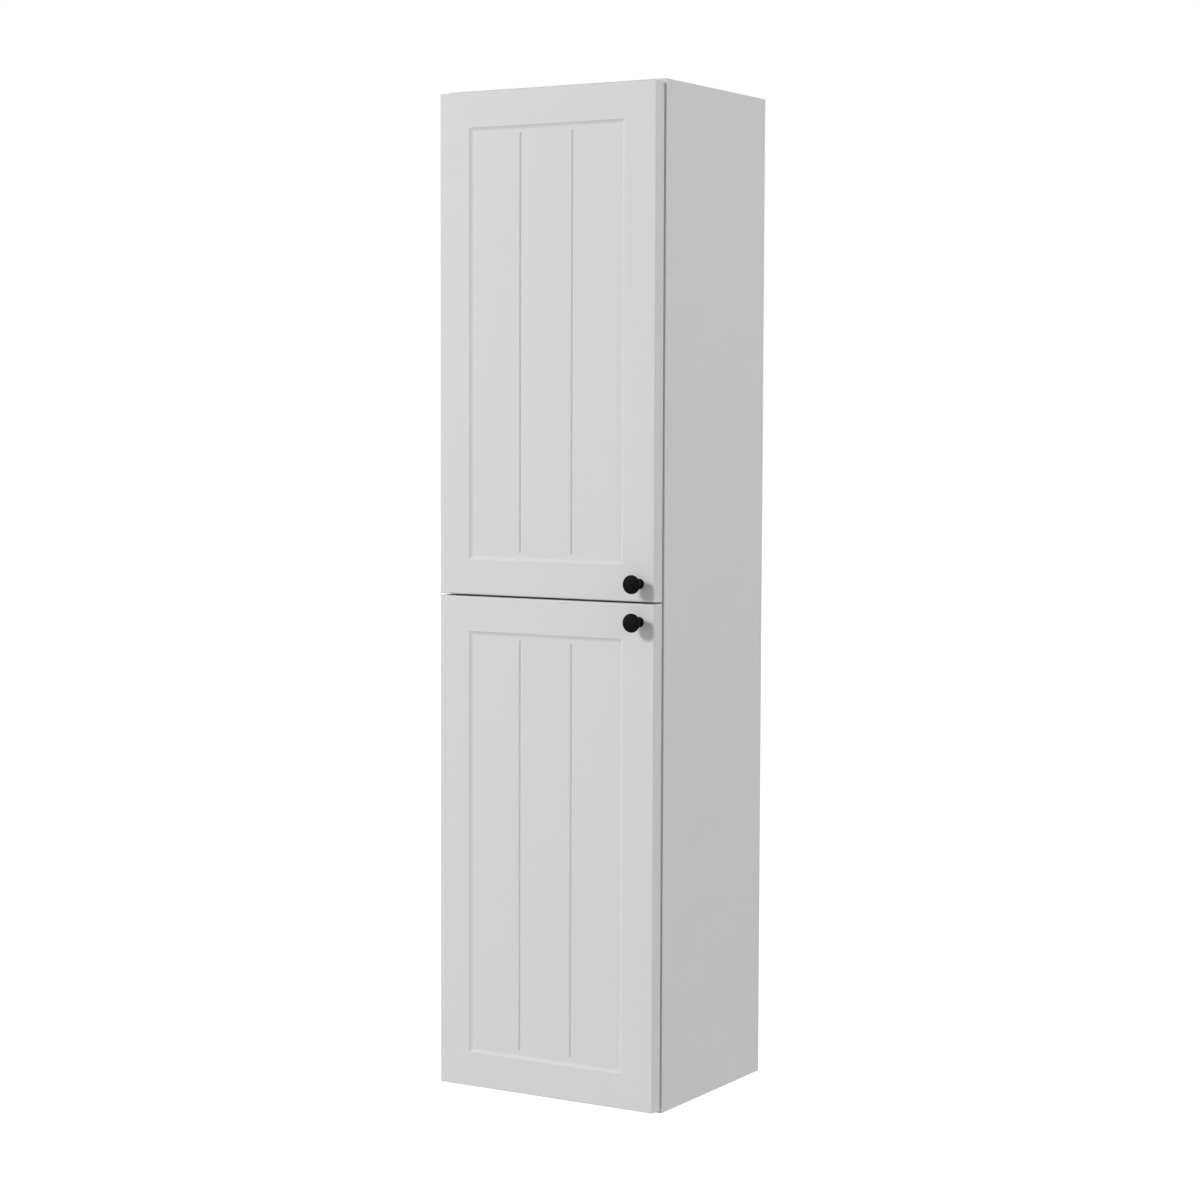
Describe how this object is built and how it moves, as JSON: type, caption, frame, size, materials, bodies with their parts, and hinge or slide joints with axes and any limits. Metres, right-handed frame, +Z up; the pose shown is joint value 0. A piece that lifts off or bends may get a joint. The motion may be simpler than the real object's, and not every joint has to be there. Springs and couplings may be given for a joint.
{
  "type": "tall bathroom cabinet",
  "caption": "Tall narrow wall-hung bathroom cabinet with stacked panelled doors hinged on the left, round knobs at the middle seam and shelves inside.",
  "frame": {"origin": "on the wall plane, at the middle of the bottom panel's lower rear edge", "axes": "+Z up, +Y into the wall, +X to the right for someone facing the doors"},
  "size_m": [0.4, 0.3845, 1.6],
  "materials": {
    "white_lacquer": "matt white lacquer on a routed fibreboard door",
    "white_board": "matt white laminate on 16 mm board",
    "white_hardboard": "white printed 3 mm hardboard",
    "white_plastic": "moulded white plastic",
    "beech": "plain beech",
    "matt_black_metal": "matt black powder coat",
    "clear_bumper": "clear soft plastic",
    "zinc_casting": "plain die casting",
    "nickel_plated_steel": "nickel-plated pressed steel",
    "zinc_plated_steel": "bright zinc plate",
    "spring_steel": "blued spring strip"
  },
  "bodies": {
    "cabinet": {"back_joining_strip": "white_plastic", "back_panel_lower": "white_hardboard", "back_panel_upper": "white_hardboard", "bottom_panel": "white_board", "cam_bolts": "zinc_plated_steel", "cam_cover_caps": "white_plastic", "cam_locks": "zinc_casting", "hanger_adjusting_screws": "zinc_plated_steel", "hanger_fixing_screws": "zinc_plated_steel", "hanger_hook_left": "zinc_plated_steel", "hanger_hook_right": "zinc_plated_steel", "hanger_housing_left": "white_plastic", "hanger_housing_right": "white_plastic", "hinge_arm_lower_door_bottom": "nickel_plated_steel", "hinge_arm_lower_door_top": "nickel_plated_steel", "hinge_arm_screws": "zinc_plated_steel", "hinge_arm_upper_door_bottom": "nickel_plated_steel", "hinge_arm_upper_door_top": "nickel_plated_steel", "hinge_plate_lower_door_bottom": "zinc_casting", "hinge_plate_lower_door_top": "zinc_casting", "hinge_plate_screws": "zinc_plated_steel", "hinge_plate_upper_door_bottom": "zinc_casting", "hinge_plate_upper_door_top": "zinc_casting", "lower_rear_rail": "white_board", "middle_shelf": "white_board", "shelf_1": "white_board", "shelf_2": "white_board", "shelf_3": "white_board", "shelf_4": "white_board", "shelf_pins": "zinc_plated_steel", "side_panel_left": "white_board", "side_panel_right": "white_board", "top_panel": "white_board", "wall_rail": "zinc_plated_steel", "wooden_dowels": "beech"},
    "upper_door_leaf": {"upper_door": "white_lacquer", "bumpers_upper_door": "clear_bumper", "cup_screws_upper_door": "zinc_plated_steel", "hinge_pins_upper_door": "zinc_plated_steel", "hinge_springs_upper_door": "spring_steel", "knob_screw_upper_door": "zinc_plated_steel", "knob_upper_door": "matt_black_metal", "hinge_cup_upper_door_bottom": "nickel_plated_steel", "hinge_cup_upper_door_top": "nickel_plated_steel"},
    "lower_door_leaf": {"lower_door": "white_lacquer", "bumpers_lower_door": "clear_bumper", "cup_screws_lower_door": "zinc_plated_steel", "hinge_pins_lower_door": "zinc_plated_steel", "hinge_springs_lower_door": "spring_steel", "knob_lower_door": "matt_black_metal", "knob_screw_lower_door": "zinc_plated_steel", "hinge_cup_lower_door_bottom": "nickel_plated_steel", "hinge_cup_lower_door_top": "nickel_plated_steel"}
  },
  "joints": [
    {"name": "upper_door_hinge", "type": "hinge", "parent": "cabinet", "child": "upper_door_leaf", "pos_m": [-0.1895, -0.3405, 1.19825], "axis": [0, 0, -1], "range_deg": [0, 105], "stiffness_Nm_per_rad": 0.12, "springref_deg": -68.75},
    {"name": "lower_door_hinge", "type": "hinge", "parent": "cabinet", "child": "lower_door_leaf", "pos_m": [-0.1895, -0.3405, 0.40175], "axis": [0, 0, -1], "range_deg": [0, 105], "stiffness_Nm_per_rad": 0.12, "springref_deg": -68.75}
  ]
}
